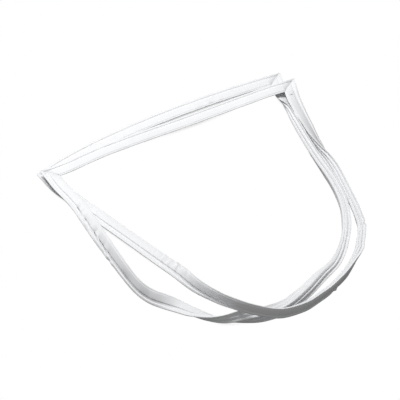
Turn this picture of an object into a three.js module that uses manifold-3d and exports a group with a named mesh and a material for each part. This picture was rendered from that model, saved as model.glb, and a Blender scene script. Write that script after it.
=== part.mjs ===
// Refrigerator door gasket, coiled into two turns and lying face up on a flat surface.
// Millimetres, +Z up. The two short sides lie side by side along +X at the back,
// both long sides wind round the front of the coil (-Y), twisting as they go.
import * as THREE from 'three';
import { mergeVertices } from 'three/addons/utils/BufferGeometryUtils.js';
import Module from 'manifold-3d';

// Driving dimensions of the flat gasket.
const SHORT_SIDE = 570;      // length of a short side, outer edge to outer edge
const LONG_SIDE = 1290;      // length of a long side along its middle line
const BAND = 16.4;           // width of the flat sealing band that holds the magnet
const OUTER_FLAP = 7.2;      // rim flap beyond the band
const INNER_LIP = 5.6;       // small lip on the other edge
const FACE_HEIGHT = 8.2;     // base of the profile to its sealing face
const DART_DEPTH = 4.4;      // push-in rib below the base
const WALL = 1.2;            // thickness of the soft wall round the pocket
const MAGNET_WIDTH = 10.6;
const MAGNET_THICKNESS = 1.6;
const MAGNET_GAP = 0.75;     // clearance above and below the magnet
const MAGNET_END_GAP = 30;   // magnet end to the outer corner
const VENT_DIAMETER = 3;     // small hole through the band beside one corner
const VENT_FROM_CORNER = 26;

const STEPS = 3;             // stations between two guide points
const FACE = 5.6;            // sealing face above the guide line
const BASE = FACE - FACE_HEIGHT;
const BAND_OUT = BAND / 2 - 0.6;
const BAND_IN = BAND_OUT - BAND;
const LOW = DART_DEPTH - BASE;              // guide line height of the layer on the floor
const HIGH = LOW + FACE_HEIGHT + DART_DEPTH + 0.7;  // and of the layer above it
const HALF = BAND_OUT + OUTER_FLAP;

// Guide points along each side: x, y, height above the floor, roll in degrees.
// Roll 0 is sealing face up; at -90 the rim flap points down and the face outward.
const BACK_UPPER = [
  [HALF + 40, -HALF, HIGH, 0], [130, -12, 15.5, 0], [225, -5, 10.5, 0], [320, -1, 9.5, 0],
  [415, -3, 11.5, 0], [SHORT_SIDE - HALF - 45, -11, HIGH, 0],
];
const BACK_LOWER = [
  [50, 5, LOW, 0], [130, 18, LOW, 0], [225, 27, LOW, 0], [320, 30, LOW, 0],
  [415, 27, LOW, 0], [SHORT_SIDE - HALF - 50, 20, LOW, 0],
];
const LONG_UPPER = [
  [SHORT_SIDE - HALF - 1, -50, 20, -3], [548, -94, 18, -14], [542, -147, 16, -34], [539, -204, 15, -62],
  [534, -265, 15, -85], [524, -324, 15, -108], [504, -385, 15.5, -135], [475, -437, 17, -148],
  [432, -478, 18, -128], [374, -511, 21, -108], [310, -530, 31, -98], [254, -531, 41, -90],
  [210, -503, 46, -82], [174, -458, 43, -72], [151, -406, 31, -52], [137, -350, 17, -22],
  [118, -296, 9.5, -6], [89, -221, LOW, 0], [55, -137, LOW, 0], [20, -50, LOW, 0],
];
const LONG_LOWER = [
  [SHORT_SIDE - 36, -34, LOW, -3], [525, -62, 8, -10], [516, -108, 11, -32], [510, -158, 14.5, -66],
  [508, -220, 15, -90], [505, -275, 15, -108], [495, -333, 13, -138], [475, -388, 9.5, -160],
  [447, -427, 7.5, -172], [408, -452, 7, -178], [358, -474, 7.5, -186], [304, -492, 10, -200],
  [252, -502, 13, -216], [203, -497, 16, -230], [158, -475, 17, -246], [117, -440, 16, -268],
  [80, -401, 15, -292], [53, -352, 15.5, -318], [41, -287, 17.5, -338], [34, -206, 20.5, -352],
  [24, -120, HIGH, -359], [HALF, -55, HIGH, -360],
];
const CORNERS = {
  backLeftUpper: [HALF, -HALF, HIGH, 0],
  backRightUpper: [SHORT_SIDE - HALF, -HALF, HIGH, 0],
  backLeftLower: [10, -4, LOW, 0],
  backRightLower: [SHORT_SIDE - 29, 17, LOW, 0],
};

const profile = [
  [BAND_OUT + OUTER_FLAP - 0.3, 2.2], [BAND_OUT + OUTER_FLAP, 3.2], [BAND_OUT + OUTER_FLAP - 0.6, 4.2],
  [BAND_OUT + 2, 4.9], [BAND_OUT + 0.8, 3.6], [BAND_OUT, FACE], [BAND_IN, FACE], [BAND_IN - 1.1, 3.8],
  [BAND_IN - 2, 4.8], [BAND_IN - INNER_LIP + 0.8, 4.6], [BAND_IN - INNER_LIP, 3.8],
  [BAND_IN - INNER_LIP + 0.6, 3], [BAND_IN - 1.6, 2.4], [BAND_IN - 0.4, 1], [BAND_IN - 0.8, BASE + 1.1],
  [BAND_IN + 0.4, BASE], [BAND_IN + 4.2, BASE - 0.2], [BAND_IN + 3.6, BASE - 0.45 * DART_DEPTH],
  [BAND_IN + 6.4, BASE - DART_DEPTH], [BAND_IN + 8.2, BASE - DART_DEPTH],
  [BAND_IN + 10.4, BASE - 0.45 * DART_DEPTH], [BAND_IN + 9.8, BASE - 0.2], [BAND_OUT - 1.6, BASE],
  [BAND_OUT - 0.6, BASE + 1], [BAND_OUT - 1.2, 0.8], [BAND_OUT + 0.6, 2.2],
];
const pocketFloor = FACE - WALL - MAGNET_THICKNESS - 2 * MAGNET_GAP;
const pocket = rectangle(BAND_IN + WALL + 0.2, BAND_OUT - WALL, pocketFloor, FACE - WALL);
const chamber = rectangle(BAND_IN + WALL, BAND_OUT - 2 * WALL - 0.2, BASE + 1, pocketFloor - 0.9);
const magnetMiddle = (BAND_IN + BAND_OUT) / 2;
const magnet = rectangle(magnetMiddle - MAGNET_WIDTH / 2, magnetMiddle + MAGNET_WIDTH / 2,
  pocketFloor + MAGNET_GAP, pocketFloor + MAGNET_GAP + MAGNET_THICKNESS);

// Counter-clockwise rectangle in profile coordinates.
function rectangle(left, right, bottom, top) {
  return [[right, bottom], [right, top], [left, top], [left, bottom]];
}

// Smooth run of stations from one corner through the guide points to the next.
function runOf(from, guides, to, reach) {
  const turned = Math.round(guides[guides.length - 1][3] / 360) * 360;
  const rows = [from, ...guides, [...to.slice(0, 3), turned]]
    .map(([x, y, z, roll]) => [x, y < -60 ? -60 + (y + 60) * reach : y, z, roll]);
  const path = new THREE.CatmullRomCurve3(rows.map(r => new THREE.Vector3(r[0], r[1], r[2])), false, 'catmullrom');
  const rolls = new THREE.CatmullRomCurve3(rows.map(r => new THREE.Vector3(r[3], 0, 0)), false, 'catmullrom');
  const count = (rows.length - 1) * STEPS;
  return Array.from({ length: count }, (_, i) => ({
    point: path.getPoint(i / count), roll: THREE.MathUtils.degToRad(rolls.getPoint(i / count).x), corner: i === 0,
  }));
}

function lengthOf(run, end) {
  const points = [...run.map(s => s.point), new THREE.Vector3(end[0], end[1], end[2])];
  return points.slice(1).reduce((sum, p, i) => sum + p.distanceTo(points[i]), 0);
}

// Stretches the coil front to back until the long sides have their stated mean length.
function solveReach() {
  const mean = reach => (lengthOf(runOf(CORNERS.backRightUpper, LONG_UPPER, CORNERS.backLeftLower, reach),
    CORNERS.backLeftLower) + lengthOf(runOf(CORNERS.backRightLower, LONG_LOWER, CORNERS.backLeftUpper, reach),
    CORNERS.backLeftUpper)) / 2;
  let low = 0.5, high = 2;
  for (let i = 0; i < 30; i++) {
    const middle = (low + high) / 2;
    if (mean(middle) < LONG_SIDE) low = middle; else high = middle;
  }
  return low;
}

const reach = solveReach();
const sides = {
  back_upper: runOf(CORNERS.backLeftUpper, BACK_UPPER, CORNERS.backRightUpper, 1),
  long_upper: runOf(CORNERS.backRightUpper, LONG_UPPER, CORNERS.backLeftLower, reach),
  back_lower: runOf(CORNERS.backLeftLower, BACK_LOWER, CORNERS.backRightLower, 1),
  long_lower: runOf(CORNERS.backRightLower, LONG_LOWER, CORNERS.backLeftUpper, reach),
};
const loop = Object.values(sides).flat();

// Gives every station its across and face directions; corners get a mitred across direction.
loop.forEach((station, i) => {
  const before = station.point.clone().sub(loop[(i + loop.length - 1) % loop.length].point).normalize();
  const after = loop[(i + 1) % loop.length].point.clone().sub(station.point).normalize();
  const outward = t => new THREE.Vector3(-t.y, t.x, 0).normalize();
  if (station.corner) {
    const a = outward(before), b = outward(after);
    station.across = a.clone().add(b).divideScalar(1 + a.dot(b));
    station.face = new THREE.Vector3(0, 0, 1);
    return;
  }
  const along = before.add(after).normalize();
  const side = outward(along);
  const up = new THREE.Vector3().crossVectors(along, side);
  if (up.z < 0) up.negate();
  const c = Math.cos(station.roll), s = Math.sin(station.roll);
  station.across = side.clone().multiplyScalar(c).addScaledVector(up, s);
  station.face = side.clone().multiplyScalar(-s).addScaledVector(up, c);
});

function ring(station, section) {
  return section.map(([s, t]) => station.point.clone()
    .addScaledVector(station.across, s).addScaledVector(station.face, t));
}

// Skin over a row of stations, either closed on itself or capped at both ends.
function sweep(stations, section, closed, inward = false) {
  const n = section.length, positions = [], index = [];
  stations.forEach(station => ring(station, section).forEach(p => positions.push(p.x, p.y, p.z)));
  const put = (a, b, c) => (inward ? index.push(a, c, b) : index.push(a, b, c));
  const last = closed ? stations.length : stations.length - 1;
  for (let i = 0; i < last; i++) {
    const j = (i + 1) % stations.length;
    for (let k = 0; k < n; k++) {
      const m = (k + 1) % n;
      put(i * n + k, i * n + m, j * n + m);
      put(i * n + k, j * n + m, j * n + k);
    }
  }
  if (!closed) {
    const caps = THREE.ShapeUtils.triangulateShape(section.map(([s, t]) => new THREE.Vector2(s, t)), []);
    const end = (stations.length - 1) * n;
    caps.forEach(([a, b, c]) => { put(a, c, b); put(end + a, end + b, end + c); });
  }
  return { positions, index };
}

function join(parts) {
  const geometry = new THREE.BufferGeometry();
  const positions = [], index = [];
  parts.forEach(part => {
    const offset = positions.length / 3;
    positions.push(...part.positions);
    index.push(...part.index.map(i => i + offset));
  });
  geometry.setAttribute('position', new THREE.Float32BufferAttribute(positions, 3));
  geometry.setIndex(index);
  return geometry;
}

const wasm = await Module();
wasm.setup();

function toSolid(geometry) {
  const bare = new THREE.BufferGeometry();
  bare.setAttribute('position', geometry.getAttribute('position'));
  if (geometry.index) bare.setIndex(geometry.index);
  const merged = mergeVertices(bare, 1e-4);
  return new wasm.Manifold(new wasm.Mesh({
    numProp: 3, vertProperties: new Float32Array(merged.getAttribute('position').array),
    triVerts: new Uint32Array(merged.index.array),
  }));
}

function toGeometry(solid) {
  const mesh = solid.getMesh();
  const geometry = new THREE.BufferGeometry();
  geometry.setAttribute('position', new THREE.Float32BufferAttribute(mesh.vertProperties, 3));
  geometry.setIndex(Array.from(mesh.triVerts));
  const flat = geometry.toNonIndexed();
  flat.computeVertexNormals();
  return flat;
}

// Station on a run nearest to a distance from its first corner.
function stationAt(run, distance) {
  let walked = 0;
  for (let i = 1; i < run.length; i++) {
    const step = run[i].point.distanceTo(run[i - 1].point);
    if (walked + step > distance) return { i, part: (distance - walked) / step };
    walked += step;
  }
  return { i: run.length - 1, part: 1 };
}

// The vent goes down through the band and the pocket floor into the lower chamber.
function ventDrill() {
  const { i, part } = stationAt(sides.long_upper, VENT_FROM_CORNER);
  const at = sides.long_upper[i - 1].point.clone().lerp(sides.long_upper[i].point, part);
  const top = FACE + 3, bottom = (BASE + 1 + pocketFloor - 0.9) / 2;
  const drill = new THREE.CylinderGeometry(VENT_DIAMETER / 2, VENT_DIAMETER / 2, top - bottom, 16);
  drill.rotateX(Math.PI / 2);
  drill.translate(at.x + magnetMiddle, at.y, at.z + (top + bottom) / 2);
  return toSolid(drill);
}

const skins = [sweep(loop, profile, true), sweep(loop, pocket, true, true), sweep(loop, chamber, true, true)];
const softBody = toSolid(join(skins)).subtract(ventDrill());

const softVinyl = new THREE.MeshStandardMaterial({ name: 'soft_vinyl', color: 0xeeeff1, roughness: 0.5, metalness: 0 });
const ferrite = new THREE.MeshStandardMaterial({ name: 'ferrite_strip', color: 0x3a3634, roughness: 0.8, metalness: 0 });

const gasket = new THREE.Group();
gasket.name = 'door_gasket';

function add(name, geometry, material) {
  const mesh = new THREE.Mesh(geometry, material);
  mesh.name = name;
  gasket.add(mesh);
}

add('gasket_profile', toGeometry(softBody), softVinyl);

// One magnet strip per side, stopping short of the welded corners.
Object.entries(sides).forEach(([name, run]) => {
  const total = lengthOf(run, run[run.length - 1].point.toArray());
  const first = stationAt(run, MAGNET_END_GAP).i;
  const last = stationAt(run, total - MAGNET_END_GAP).i;
  const body = toSolid(join([sweep(run.slice(first, last + 1), magnet, false)]));
  add(`magnet_${name}`, toGeometry(body), ferrite);
});

// The frame's origin is the middle of the coil on the floor.
const extent = new THREE.Box3().setFromObject(gasket);
const middle = extent.getCenter(new THREE.Vector3());
gasket.children.forEach(mesh => mesh.geometry.translate(-middle.x, -middle.y, -extent.min.z));

export default gasket;
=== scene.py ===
import math
import bpy
import numpy as np
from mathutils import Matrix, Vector


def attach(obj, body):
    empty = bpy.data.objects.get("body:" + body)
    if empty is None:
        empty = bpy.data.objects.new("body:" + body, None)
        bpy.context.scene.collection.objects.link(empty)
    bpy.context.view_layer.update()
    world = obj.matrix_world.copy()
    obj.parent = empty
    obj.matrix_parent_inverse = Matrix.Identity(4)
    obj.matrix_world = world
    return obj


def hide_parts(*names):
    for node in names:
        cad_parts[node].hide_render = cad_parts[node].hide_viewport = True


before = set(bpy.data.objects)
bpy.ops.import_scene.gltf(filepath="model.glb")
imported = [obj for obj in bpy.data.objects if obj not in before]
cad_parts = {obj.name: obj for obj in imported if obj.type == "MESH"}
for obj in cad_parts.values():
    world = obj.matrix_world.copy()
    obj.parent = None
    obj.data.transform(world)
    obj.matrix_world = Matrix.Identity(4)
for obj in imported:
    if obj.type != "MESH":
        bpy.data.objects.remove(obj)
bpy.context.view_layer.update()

# Camera
# A long lens from the left and above, with the two short sides of the coil running up to the right.
CAMERA_AZIMUTH = math.radians(-26.46)
CAMERA_ELEVATION = math.radians(50)
CAMERA_DISTANCE = 4.0
CAMERA_TARGET = Vector((-0.021, 0.0585, 0.0))
CAMERA_LENS = 181.0

camera = bpy.data.objects.new("camera", bpy.data.cameras.new("camera"))
bpy.context.collection.objects.link(camera)
camera_back = Vector((
    math.sin(CAMERA_AZIMUTH) * math.cos(CAMERA_ELEVATION),
    -math.cos(CAMERA_AZIMUTH) * math.cos(CAMERA_ELEVATION),
    math.sin(CAMERA_ELEVATION),
))
camera.location = CAMERA_TARGET + camera_back * CAMERA_DISTANCE
camera.rotation_mode = "QUATERNION"
camera.rotation_quaternion = (-camera_back).to_track_quat("-Z", "Y")
camera.data.lens = CAMERA_LENS
bpy.context.scene.camera = camera

# Gasket profile
# One welded loop of soft white vinyl extrusion: a magnet band beside a shallow groove, a rim flap on
# the outer edge, a small lip on the inner edge and a push-in dart below. It lies wound into two turns.
MM = 0.001
SHORT_SIDE = 0.570
LONG_SIDE = 1.295
BAND_OUT = 0.0076
OUTER_FLAP = 0.0072
FACE = 0.0056
BASE = -0.0026
DART_DEPTH = 0.0044
TURN_GAP = 0.7 * MM
LOW = DART_DEPTH - BASE
HIGH = LOW + FACE - BASE + DART_DEPTH + TURN_GAP
HALF = BAND_OUT + OUTER_FLAP
COIL_MIDDLE = np.array([0.2815, -0.2501, -0.0002])

# Guide points along each side: x, y, height above the floor, roll in degrees. Roll 0 is sealing
# face up; at -90 the rim flap points down and the face outward.
BACK_UPPER = [
    (HALF + 0.040, -HALF, HIGH, 0), (0.130, -0.007, 0.0185, 0), (0.225, -0.002, 0.013, 0),
    (0.320, -0.001, 0.0095, 0), (0.415, -0.003, 0.0115, 0), (SHORT_SIDE - HALF - 0.045, -0.011, HIGH, 0),
]
BACK_LOWER = [
    (0.050, 0.007, LOW, 0), (0.130, 0.021, LOW, 0), (0.225, 0.030, LOW, 0), (0.320, 0.034, LOW, 0),
    (0.415, 0.033, LOW, 0), (SHORT_SIDE - HALF - 0.050, 0.028, LOW, 0),
]
LONG_UPPER = [
    (0.545, -0.057, 0.0185, -10), (0.538, -0.114, 0.0175, -26), (0.534, -0.164, 0.0165, -44),
    (0.534, -0.195, 0.016, -60), (0.535, -0.222, 0.0155, -78), (0.533, -0.257, 0.0153, -92),
    (0.527, -0.297, 0.0152, -100), (0.52, -0.344, 0.015, -104), (0.513, -0.38, 0.0149, -108),
    (0.503, -0.411, 0.0146, -114), (0.48, -0.444, 0.0142, -124), (0.471, -0.456, 0.0145, -122),
    (0.44, -0.483, 0.0155, -99), (0.404, -0.504, 0.017, -96), (0.364, -0.521, 0.021, -94),
    (0.31, -0.537, 0.03, -92), (0.257, -0.535, 0.039, -88), (0.21, -0.503, 0.0445, -82),
    (0.174, -0.458, 0.042, -72), (0.151, -0.406, 0.031, -52), (0.137, -0.35, 0.017, -22),
    (0.118, -0.296, 0.0095, -6), (0.089, -0.221, LOW, 0), (0.055, -0.137, LOW, 0), (0.02, -0.05, LOW, 0),
]
LONG_LOWER = [
    (0.536, -0.014, LOW, -2), (0.533, -0.04, 0.0086, -25), (0.528, -0.068, 0.013, -66),
    (0.522, -0.097, 0.0148, -86), (0.516, -0.155, 0.0152, -97), (0.513, -0.214, 0.0152, -103),
    (0.512, -0.275, 0.015, -112), (0.505, -0.327, 0.0148, -116), (0.488, -0.375, 0.0145, -122),
    (0.461, -0.418, 0.0138, -128), (0.422, -0.455, 0.011, -150), (0.384, -0.47, 0.0075, -168),
    (0.338, -0.491, 0.0065, -182), (0.288, -0.508, 0.0085, -196), (0.24, -0.509, 0.012, -213),
    (0.201, -0.501, 0.015, -245), (0.165, -0.49, 0.0162, -285), (0.138, -0.471, 0.0162, -320),
    (0.118, -0.448, 0.0135, -344), (0.1, -0.421, 0.0115, -362), (0.082, -0.398, 0.0135, -388),
    (0.065, -0.375, 0.0148, -404), (0.053, -0.342, 0.0156, -411), (0.047, -0.297, 0.0162, -408),
    (0.042, -0.248, 0.0172, -399), (0.037, -0.195, 0.019, -384), (0.031, -0.114, 0.0205, -366),
    (0.019, -0.053, HIGH, -360),
]
BACK_LEFT_UPPER = (HALF, -HALF, HIGH, 0)
BACK_RIGHT_UPPER = (SHORT_SIDE - HALF, -HALF, HIGH, 0)
BACK_LEFT_LOWER = (0.010, -0.004, LOW, 0)
BACK_RIGHT_LOWER = (SHORT_SIDE - 0.0265, 0.0245, LOW, 0)
SIDES = {
    "back_upper": (BACK_LEFT_UPPER, BACK_UPPER, BACK_RIGHT_UPPER),
    "long_upper": (BACK_RIGHT_UPPER, LONG_UPPER, BACK_LEFT_LOWER),
    "back_lower": (BACK_LEFT_LOWER, BACK_LOWER, BACK_RIGHT_LOWER),
    "long_lower": (BACK_RIGHT_LOWER, LONG_LOWER, BACK_LEFT_UPPER),
}

# How the path is worked out: stations between two guide points, room kept free of stations at a
# corner, and the stretch front to back that gives the long sides their length.
STATIONS_PER_GUIDE = 16
CORNER_CLEARANCE = HALF * 1.12
REACH_FROM = -0.060
REACH_RANGE = (0.5, 2.0)
HALVINGS = 30
LENGTH_STEPS = 3

# Outline of the profile: across from the guide line, height, radius of the rounding there (mm).
PROFILE = [
    (14.5, 2.2, 0.3), (14.8, 3.2, 0.4), (14.2, 4.4, 0.5), (9.9, 5.0, 0.7), (8.9, 3.6, 0.9),
    (4.0, 3.8, 0.9), (3.0, 5.6, 0.7), (-10.3, 5.6, 0.6), (-11.1, 4.8, 0.4), (-12.0, 5.0, 0.5),
    (-13.7, 4.6, 0.4), (-14.4, 3.8, 0.4), (-13.8, 3.0, 0.3), (-10.4, 2.4, 0.4), (-9.2, 1.0, 0.5),
    (-9.6, -1.5, 0.6), (-8.4, -2.6, 0.5), (-4.6, -2.8, 0.3), (-5.2, -4.6, 0.25), (-2.4, -7.0, 0.4),
    (-0.6, -7.0, 0.4), (1.6, -4.6, 0.25), (1.0, -2.8, 0.3), (6.0, -2.6, 0.5), (7.0, -1.6, 0.5),
    (6.4, 0.8, 0.5), (8.2, 2.0, 0.6),
]
ROUNDING_SHARE = 0.45
ROUNDING_STEPS = 2

# Buckles left by the folding, each a ridge between two hollows: side, distance from its first
# corner, place across, height, half length, half width, lean along the loop per mm across (mm).
BUCKLES = [
    ("back_upper", 120, 7.0, 1.4, 13, 2.0, 0.0), ("back_upper", 167, 0.0, 1.4, 6, 5.0, 5.0),
    ("back_upper", 200, -2.0, 1.3, 14, 2.0, 0.0), ("back_lower", 120, 5.0, 1.6, 6, 5.0, -3.3),
    ("back_lower", 143, 0.0, 1.3, 8, 3.0, -4.0), ("back_lower", 194, -1.0, 2.1, 7, 6.0, -3.3),
    ("back_lower", 366, -5.0, 1.8, 5, 7.0, 1.9), ("back_lower", 386, -8.0, 1.4, 5, 7.0, 2.2),
    ("back_lower", 412, -8.0, 1.1, 6, 7.0, 2.4),
    ("long_lower", 1176, 4.0, 1.8, 12, 9.0, -5.8), ("long_lower", 1123, 2.0, 2.1, 8, 7.0, -6.0),
    ("long_lower", 1077, 4.0, 2.2, 8, 10.0, -3.0), ("long_lower", 1052, 13.0, -2.6, 7, 4.0, 0.0),
    ("long_lower", 1006, 0.0, 1.9, 22, 3.0, 0.0), ("long_lower", 940, -3.0, 1.4, 16, 5.0, 2.0),
    ("long_lower", 175, 10.0, -2.4, 5, 4.0, 0.0), ("long_lower", 215, 10.0, -2.4, 5, 4.0, 0.0),
    ("long_upper", 976, -4.0, 2.5, 5, 9.0, -1.4), ("long_upper", 961, -5.0, 3.0, 4, 9.0, -1.5),
    ("long_upper", 944, -6.0, 3.6, 4, 9.0, -1.6), ("long_upper", 927, -8.0, 4.6, 5, 9.0, -1.7),
    ("long_upper", 899, -8.0, 2.5, 6, 8.0, -2.0), ("long_upper", 391, -12.0, -2.4, 5, 4.0, 0.0),
    ("long_upper", 552, 13.0, 1.9, 6, 3.0, 0.0), ("long_upper", 420, 0.0, 1.3, 12, 5.0, 3.0),
]
LIP_WAVE = 0.35 * MM
LIP_WAVE_LENGTH = 0.058
SEAM_HALF_WIDTH = 0.5 * MM
SEAM_DEPTH = 0.45 * MM
VENT_RADIUS = 1.5 * MM
VENT_FROM_CORNER = 0.026
VENT_ACROSS = -0.6 * MM
VENT_DEPTH = 3 * MM
VENT_FACETS = 24

# Slightly cool white, satin, with faint die lines along the extrusion and a soft unevenness.
VINYL = (0.86, 0.865, 0.88)
VINYL_DULL = (0.80, 0.805, 0.815)
VINYL_ROUGHNESS = (0.40, 0.58)
VINYL_SPECULAR = 0.35
PATCH_SCALE = 28
PATCH_DETAIL = 3
HANDLING_SCALE = 140
DIE_LINE_SCALE = (6, 1600, 1)
DIE_LINE_STRENGTH = 0.12
DIE_LINE_DEPTH = 0.3 * MM


def rounded(outline):
    """Outline with each corner replaced by a curve B(t) = (1-t)^2 A + 2t(1-t) C + t^2 D, as (n, 2)."""
    points = np.array([p[:2] for p in outline]) * MM
    radius = np.array([p[2] for p in outline])[:, None] * MM
    to_last = np.roll(points, 1, 0) - points
    to_next = np.roll(points, -1, 0) - points
    size_last = np.linalg.norm(to_last, axis=1)[:, None]
    size_next = np.linalg.norm(to_next, axis=1)[:, None]
    first = points + to_last / size_last * np.minimum(radius, ROUNDING_SHARE * size_last)
    last = points + to_next / size_next * np.minimum(radius, ROUNDING_SHARE * size_next)
    t = np.linspace(0, 1, ROUNDING_STEPS + 1)[None, :, None]
    curve = (1 - t) ** 2 * first[:, None] + 2 * t * (1 - t) * points[:, None] + t ** 2 * last[:, None]
    return curve.reshape(-1, 2)


def smooth_rows(rows, steps):
    """Smooth curve through the rows: from b to c, with slopes v0 and v1 taken from the rows beside
    them, p(t) = b + v0 t + (3(c - b) - 2 v0 - v1) t^2 + (2(b - c) + v0 + v1) t^3."""
    ends = np.vstack([2 * rows[0] - rows[1], rows, 2 * rows[-1] - rows[-2]])
    b, c = ends[1:-2, None], ends[2:-1, None]
    v0 = (ends[2:-1] - ends[:-3])[:, None] / 2
    v1 = (ends[3:] - ends[1:-2])[:, None] / 2
    t = (np.arange(steps) / steps)[None, :, None]
    spans = b + v0 * t + (3 * (c - b) - 2 * v0 - v1) * t ** 2 + (2 * (b - c) + v0 + v1) * t ** 3
    return spans.reshape(-1, rows.shape[1])


def side_rows(start, guides, end, reach):
    """Guide rows of one side, with all beyond REACH_FROM stretched front to back by reach."""
    rows = np.array([start, *guides, end], float)
    rows[-1, 3] = round(rows[-2, 3] / 360) * 360
    y = rows[:, 1]
    rows[:, 1] = np.where(y < REACH_FROM, REACH_FROM + (y - REACH_FROM) * reach, y)
    return rows


def length_of(rows):
    """Length of the curve through the rows, as the sum of its short chords."""
    path = np.vstack([smooth_rows(rows, LENGTH_STEPS), rows[-1]])[:, :3]
    return np.linalg.norm(np.diff(path, axis=0), axis=1).sum()


def solve_reach():
    """Stretch at which the mean length of the two long sides is LONG_SIDE, by halving."""
    least, most = REACH_RANGE
    for _ in range(HALVINGS):
        middle = (least + most) / 2
        lengths = [length_of(side_rows(*SIDES[name], middle)) for name in ("long_upper", "long_lower")]
        least, most = (middle, most) if np.mean(lengths) < LONG_SIDE else (least, middle)
    return least


def unit(vectors):
    """Each vector divided by its length."""
    return vectors / np.linalg.norm(vectors, axis=-1, keepdims=True)


def outward(along):
    """Level direction to the left of each direction of travel."""
    return unit(np.stack([-along[:, 1], along[:, 0], 0 * along[:, 0]], 1))


reach = solve_reach()
runs, distance, side_of = [], [], []
for name, (start, guides, end) in SIDES.items():
    stretch = reach if name.startswith("long") else 1
    run = smooth_rows(side_rows(start, guides, end, stretch), STATIONS_PER_GUIDE)
    walked = np.concatenate([[0], np.cumsum(np.linalg.norm(np.diff(run[:, :3], axis=0), axis=1))])
    from_start = np.linalg.norm(run[:, :3] - run[0, :3], axis=1)
    to_end = np.linalg.norm(run[:, :3] - np.array(end[:3]), axis=1)
    keep = (from_start > CORNER_CLEARANCE) & (to_end > CORNER_CLEARANCE)
    keep[0] = True
    runs.append(run[keep])
    distance.append(walked[keep])
    side_of += [name] * keep.sum()
stations = np.vstack(runs)
distance = np.concatenate(distance)
side_of = np.array(side_of)
corner_rows = np.flatnonzero(distance == 0)

# Directions at every station: across the profile and out of its face. At a corner they lie in the
# mitre plane, and the profile is widened there by the slant of the cut.
centre = stations[:, :3] - COIL_MIDDLE
before = unit(centre - np.roll(centre, 1, 0))
after = unit(np.roll(centre, -1, 0) - centre)
along = unit(before + after)
level = outward(along)
up = np.cross(along, level)
up *= np.sign(up[:, 2:])
roll = np.radians(stations[:, 3:4])
across = level * np.cos(roll) + up * np.sin(roll)
face = -level * np.sin(roll) + up * np.cos(roll)
for i in corner_rows:
    a, b = outward(before[i:i + 1])[0], outward(after[i:i + 1])[0]
    across[i] = (a + b) / (1 + a @ b)
    face[i] = (0, 0, 1)
travelled = np.concatenate([[0], np.cumsum(np.linalg.norm(np.diff(centre, axis=0), axis=1))])


def rings_of(outline, lift=0):
    """Rings p = centre + s across + (t + lift) face, as (stations, points, 3)."""
    rise = (outline[None, :, 1] + lift)[..., None]
    return centre[:, None] + across[:, None] * outline[None, :, :1] + face[:, None] * rise


def buckled(outline):
    """Lift h (1 - 2 u^2) exp(-u^2 - v^2) of every buckle, with u along and v across, plus lip waves."""
    s = outline[None, :, 0]
    lift = LIP_WAVE * np.sin(math.tau * travelled / LIP_WAVE_LENGTH)[:, None] * (s / HALF) ** 4
    for name, place, middle, height, half_length, half_width, lean in BUCKLES:
        v = (s - middle * MM) / (half_width * MM)
        u = (distance[:, None] - place * MM - lean * (s - middle * MM)) / (half_length * MM)
        ridge = height * MM * (1 - 2 * u ** 2) * np.exp(-u ** 2 - v ** 2)
        lift = lift + (side_of == name)[:, None] * ridge
    return lift


def skin(name, rings, closed):
    """Quads over a row of rings, joined end to end or capped, with outward faces."""
    n, m = rings.shape[:2]
    i, k = np.meshgrid(np.arange(n if closed else n - 1), np.arange(m), indexing="ij")
    next_i, next_k = (i + 1) % n, (k + 1) % m
    corners = [i * m + k, i * m + next_k, next_i * m + next_k, next_i * m + k]
    faces = np.stack(corners, -1).reshape(-1, 4).tolist()
    if not closed:
        faces += [list(range(m))[::-1], list(range((n - 1) * m, n * m))]
    mesh = bpy.data.meshes.new(name)
    mesh.from_pydata(rings.reshape(-1, 3), [], faces)
    mesh.update()
    piece = bpy.data.objects.new(name, mesh)
    bpy.context.collection.objects.link(piece)
    return piece


def map_along(piece, distances, outline):
    """UV map in metres over a closed skin: u along the loop, v round the profile. Shades it smooth."""
    n, m = len(distances), len(outline)
    girth = np.concatenate([[0], np.cumsum(np.linalg.norm(np.diff(outline, axis=0), axis=1))])
    girth = np.append(girth, girth[-1] + np.linalg.norm(outline[0] - outline[-1]))
    distances = np.append(distances, distances[-1] + CORNER_CLEARANCE)
    i, k = np.meshgrid(np.arange(n), np.arange(m), indexing="ij")
    corners = [(i, k), (i, k + 1), (i + 1, k + 1), (i + 1, k)]
    uv = np.stack([np.stack([distances[a], girth[b]], -1) for a, b in corners], 2)
    piece.data.uv_layers.new(name="along").data.foreach_set("uv", uv.reshape(-1))
    piece.data.polygons.foreach_set("use_smooth", [True] * len(piece.data.polygons))


def drill(piece, top, direction, radius, depth):
    """Takes a round blind hole out of the piece."""
    bpy.ops.mesh.primitive_cylinder_add(
        vertices=VENT_FACETS, radius=radius, depth=2 * depth, location=top)
    bit = bpy.context.object
    bit.rotation_mode = "QUATERNION"
    bit.rotation_quaternion = Vector(direction).to_track_quat("Z", "Y")
    cut = piece.modifiers.new("drill", "BOOLEAN")
    cut.operation, cut.solver, cut.object = "DIFFERENCE", "EXACT", bit
    bpy.context.view_layer.objects.active = piece
    bpy.ops.object.modifier_apply(modifier=cut.name)
    bpy.data.objects.remove(bit)


def material(name):
    """New material, with its nodes, its links and its main shader."""
    made = bpy.data.materials.new(name)
    made.use_nodes = True
    return made, made.node_tree.nodes, made.node_tree.links, made.node_tree.nodes["Principled BSDF"]


def noise(nodes, links, vector, scale, detail=2):
    """Soft noise from 0 to 1 at the given places."""
    made = nodes.new("ShaderNodeTexNoise")
    made.inputs["Scale"].default_value = scale
    made.inputs["Detail"].default_value = detail
    links.new(vector, made.inputs["Vector"])
    return made.outputs["Fac"]


def relief(nodes, links, height, strength, depth):
    """Normals tilted by the slope of a height of the given depth."""
    made = nodes.new("ShaderNodeBump")
    made.inputs["Strength"].default_value = strength
    made.inputs["Distance"].default_value = depth
    links.new(height, made.inputs["Height"])
    return made.outputs["Normal"]


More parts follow.
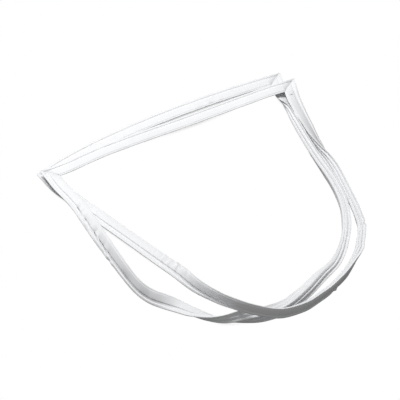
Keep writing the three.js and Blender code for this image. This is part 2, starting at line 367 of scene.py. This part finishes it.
section = rounded(PROFILE)
rings = rings_of(section, buckled(section))

# Each welded corner is a ring in the mitre plane, sunk a little between two full rings.
woven, distances = [], []
for i, ring in enumerate(rings):
    if i in corner_rows:
        sunk = ring + (centre[i] - ring) * (SEAM_DEPTH / HALF)
        sunk[:, 2] -= np.where(section[:, 1] > 0, SEAM_DEPTH, -SEAM_DEPTH)
        woven += [ring - before[i] * SEAM_HALF_WIDTH, sunk, ring + after[i] * SEAM_HALF_WIDTH]
        distances += [travelled[i] - SEAM_HALF_WIDTH, travelled[i], travelled[i] + SEAM_HALF_WIDTH]
    else:
        woven.append(ring)
        distances.append(travelled[i])
gasket = skin("gasket_seal", np.array(woven), True)
map_along(gasket, np.array(distances), section)
vent = np.flatnonzero((side_of == "long_upper") & (distance > VENT_FROM_CORNER))[0]
vent_top = centre[vent] + across[vent] * VENT_ACROSS + face[vent] * FACE
drill(gasket, vent_top, face[vent], VENT_RADIUS, VENT_DEPTH)
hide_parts("gasket_profile")
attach(gasket, "root")

vinyl, nodes, links, shader = material("soft_vinyl")
place = nodes.new("ShaderNodeTexCoord").outputs["Object"]
tint = nodes.new("ShaderNodeMix")
tint.data_type = "RGBA"
tint.inputs["A"].default_value = (*VINYL, 1)
tint.inputs["B"].default_value = (*VINYL_DULL, 1)
links.new(noise(nodes, links, place, PATCH_SCALE, PATCH_DETAIL), tint.inputs["Factor"])
links.new(tint.outputs["Result"], shader.inputs["Base Color"])
sheen = nodes.new("ShaderNodeMapRange")
sheen.inputs["To Min"].default_value, sheen.inputs["To Max"].default_value = VINYL_ROUGHNESS
links.new(noise(nodes, links, place, HANDLING_SCALE), sheen.inputs["Value"])
links.new(sheen.outputs["Result"], shader.inputs["Roughness"])
along_map = nodes.new("ShaderNodeUVMap")
along_map.uv_map = "along"
stretched = nodes.new("ShaderNodeMapping")
stretched.inputs["Scale"].default_value = DIE_LINE_SCALE
links.new(along_map.outputs["UV"], stretched.inputs["Vector"])
die_lines = relief(nodes, links, noise(nodes, links, stretched.outputs["Vector"], 1),
                   DIE_LINE_STRENGTH, DIE_LINE_DEPTH)
links.new(die_lines, shader.inputs["Normal"])
shader.inputs["Specular IOR Level"].default_value = VINYL_SPECULAR
gasket.data.materials.clear()
gasket.data.materials.append(vinyl)

# Magnet strips
# One flexible ferrite strip in the pocket of each side, dark and matt. It is slid in before the
# corners are welded, so it stops short of them.
MAGNET_END_GAP = 0.030
MAGNET_EDGES = (-5.9, 4.7)
MAGNET_HEIGHTS = (1.75, 3.35)
FERRITE = (0.035, 0.032, 0.03)
FERRITE_ROUGHNESS = 0.75
FERRITE_GRAIN = 900
GRAIN_STRENGTH = 0.3
GRAIN_DEPTH = 0.2 * MM

ferrite, nodes, links, shader = material("ferrite_strip")
place = nodes.new("ShaderNodeTexCoord").outputs["Object"]
grain = relief(nodes, links, noise(nodes, links, place, FERRITE_GRAIN), GRAIN_STRENGTH, GRAIN_DEPTH)
links.new(grain, shader.inputs["Normal"])
shader.inputs["Base Color"].default_value = (*FERRITE, 1)
shader.inputs["Roughness"].default_value = FERRITE_ROUGHNESS

(edge_in, edge_out), (under, top) = MAGNET_EDGES, MAGNET_HEIGHTS
magnet_section = np.array([(edge_out, under), (edge_out, top), (edge_in, top), (edge_in, under)]) * MM
magnet_rings = rings_of(magnet_section)
for name in SIDES:
    side = side_of == name
    last = distance[side].max() - MAGNET_END_GAP / 2
    strip = skin(f"strip_{name}", magnet_rings[side & (distance > MAGNET_END_GAP) & (distance < last)], False)
    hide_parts(f"magnet_{name}")
    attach(strip, "root")
    strip.data.materials.append(ferrite)

# Floor, light and world
# Plain floor that the camera sees as white, with a painted contact shadow: its white glow is dimmed
# where ambient occlusion finds the gasket close. One broad soft lamp overhead and a dim surround.
FLOOR_SIZE = 8.0
FLOOR_DROP = 0.2 * MM
FLOOR_TONE = 0.2
FLOOR_ROUGHNESS = 0.9
# Painted shadow on the floor: reach, darkest tone and samples of the occlusion that dims its glow.
HIDDEN_REACH = 0.016
PAINTED_SHADOW_TONE = 0.05
HIDDEN_SAMPLES = 16
OPEN_FROM = 0.42
LAMP_SIZE = 1.3
LAMP_POWER = 42
LAMP_PLACE = Vector((-0.2, 1.0, 1.95))
SURROUND = 0.30

bpy.ops.mesh.primitive_plane_add(size=FLOOR_SIZE, location=(0, 0, -FLOOR_DROP))
floor = bpy.context.object
floor.name = "floor"
paper, nodes, links, shader = material("floor_paper")
shader.inputs["Base Color"].default_value = (FLOOR_TONE, FLOOR_TONE, FLOOR_TONE, 1)
shader.inputs["Roughness"].default_value = FLOOR_ROUGHNESS
# Painted shadow: the floor's white glow for camera rays is darkened wherever ambient occlusion finds the
# gasket nearby.
openness = nodes.new("ShaderNodeAmbientOcclusion")
openness.inputs["Distance"].default_value = HIDDEN_REACH
openness.samples = HIDDEN_SAMPLES
painted_shadow_glow = nodes.new("ShaderNodeMapRange")
painted_shadow_glow.inputs["From Max"].default_value = OPEN_FROM
painted_shadow_glow.inputs["To Min"].default_value = PAINTED_SHADOW_TONE
links.new(openness.outputs["AO"], painted_shadow_glow.inputs["Value"])
white = nodes.new("ShaderNodeEmission")
links.new(painted_shadow_glow.outputs["Result"], white.inputs["Strength"])
seen = nodes.new("ShaderNodeLightPath")
blend_white = nodes.new("ShaderNodeMixShader")
links.new(seen.outputs["Is Camera Ray"], blend_white.inputs["Fac"])
links.new(shader.outputs["BSDF"], blend_white.inputs[1])
links.new(white.outputs["Emission"], blend_white.inputs[2])
links.new(blend_white.outputs["Shader"], nodes["Material Output"].inputs["Surface"])
floor.data.materials.append(paper)

lamp = bpy.data.objects.new("lamp", bpy.data.lights.new("lamp", "AREA"))
bpy.context.collection.objects.link(lamp)
lamp.data.shape = "DISK"
lamp.data.size = LAMP_SIZE
lamp.data.energy = LAMP_POWER
lamp.location = LAMP_PLACE
lamp.rotation_mode = "QUATERNION"
lamp.rotation_quaternion = (-LAMP_PLACE).to_track_quat("-Z", "Y")

world = bpy.data.worlds.new("surround")
bpy.context.scene.world = world
world.use_nodes = True
sky = world.node_tree.nodes["Background"]
seen_sky = world.node_tree.nodes.new("ShaderNodeLightPath")
sky_level = world.node_tree.nodes.new("ShaderNodeMix")
sky_level.inputs["A"].default_value = SURROUND
sky_level.inputs["B"].default_value = 1.0
world.node_tree.links.new(seen_sky.outputs["Is Camera Ray"], sky_level.inputs["Factor"])
world.node_tree.links.new(sky_level.outputs["Result"], sky.inputs["Strength"])
sky.inputs["Color"].default_value = (1, 1, 1, 1)

bpy.context.scene.view_settings.view_transform = "Standard"
